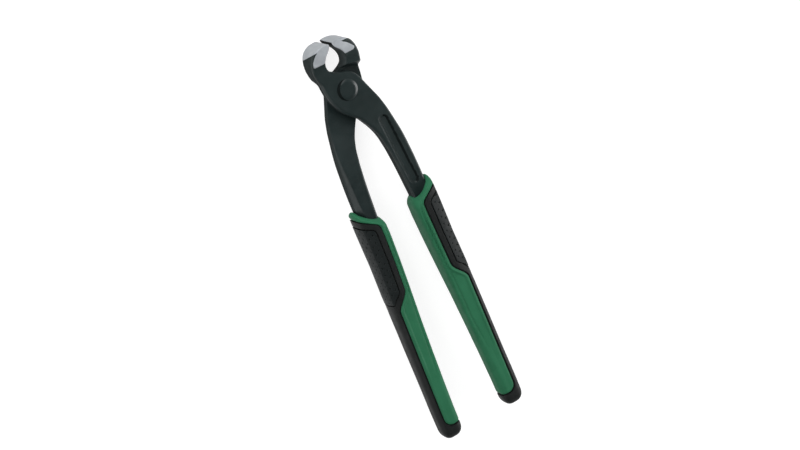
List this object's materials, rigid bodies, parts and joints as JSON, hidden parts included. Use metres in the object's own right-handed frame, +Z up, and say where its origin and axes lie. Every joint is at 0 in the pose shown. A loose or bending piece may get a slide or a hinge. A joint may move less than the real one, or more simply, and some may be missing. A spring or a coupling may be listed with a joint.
{
  "type": "end cutting nippers",
  "caption": "Long-handled end cutting nippers: forged levers crossed in a riveted lap joint, wide ground jaws, arms with a recessed panel, and green and black moulded grips.",
  "frame": {"origin": "under the middle of the tool's box, on the surface that the tool lies on", "axes": "+Y along the tool towards the jaws, +Z up along the pivot axis, +X to the right seen from above"},
  "size_m": [0.0566, 0.2522, 0.02],
  "materials": {
    "black_steel": "satin blackened forged steel, bright ground cutting jaws",
    "rivet_steel": "satin blackened steel",
    "green_plastic": "satin dark green moulded plastic",
    "black_plastic": "matt soft black moulded plastic",
    "dotted_rubber": "matt black soft rubber with rows of small dots"
  },
  "bodies": {
    "front_half": {"front_lever": "black_steel", "pivot_rivet": "rivet_steel", "right_grip_sleeve": "green_plastic", "right_grip_overmould": "black_plastic", "right_grip_pad": "dotted_rubber"},
    "back_half": {"back_lever": "black_steel", "left_grip_sleeve": "green_plastic", "left_grip_overmould": "black_plastic", "left_grip_pad": "dotted_rubber"}
  },
  "joints": [
    {"name": "pivot", "type": "hinge", "parent": "front_half", "child": "back_half", "pos_m": [0, 0.09588, 0.01], "axis": [0, 0, -1], "range_deg": [-2.6, 45]}
  ]
}
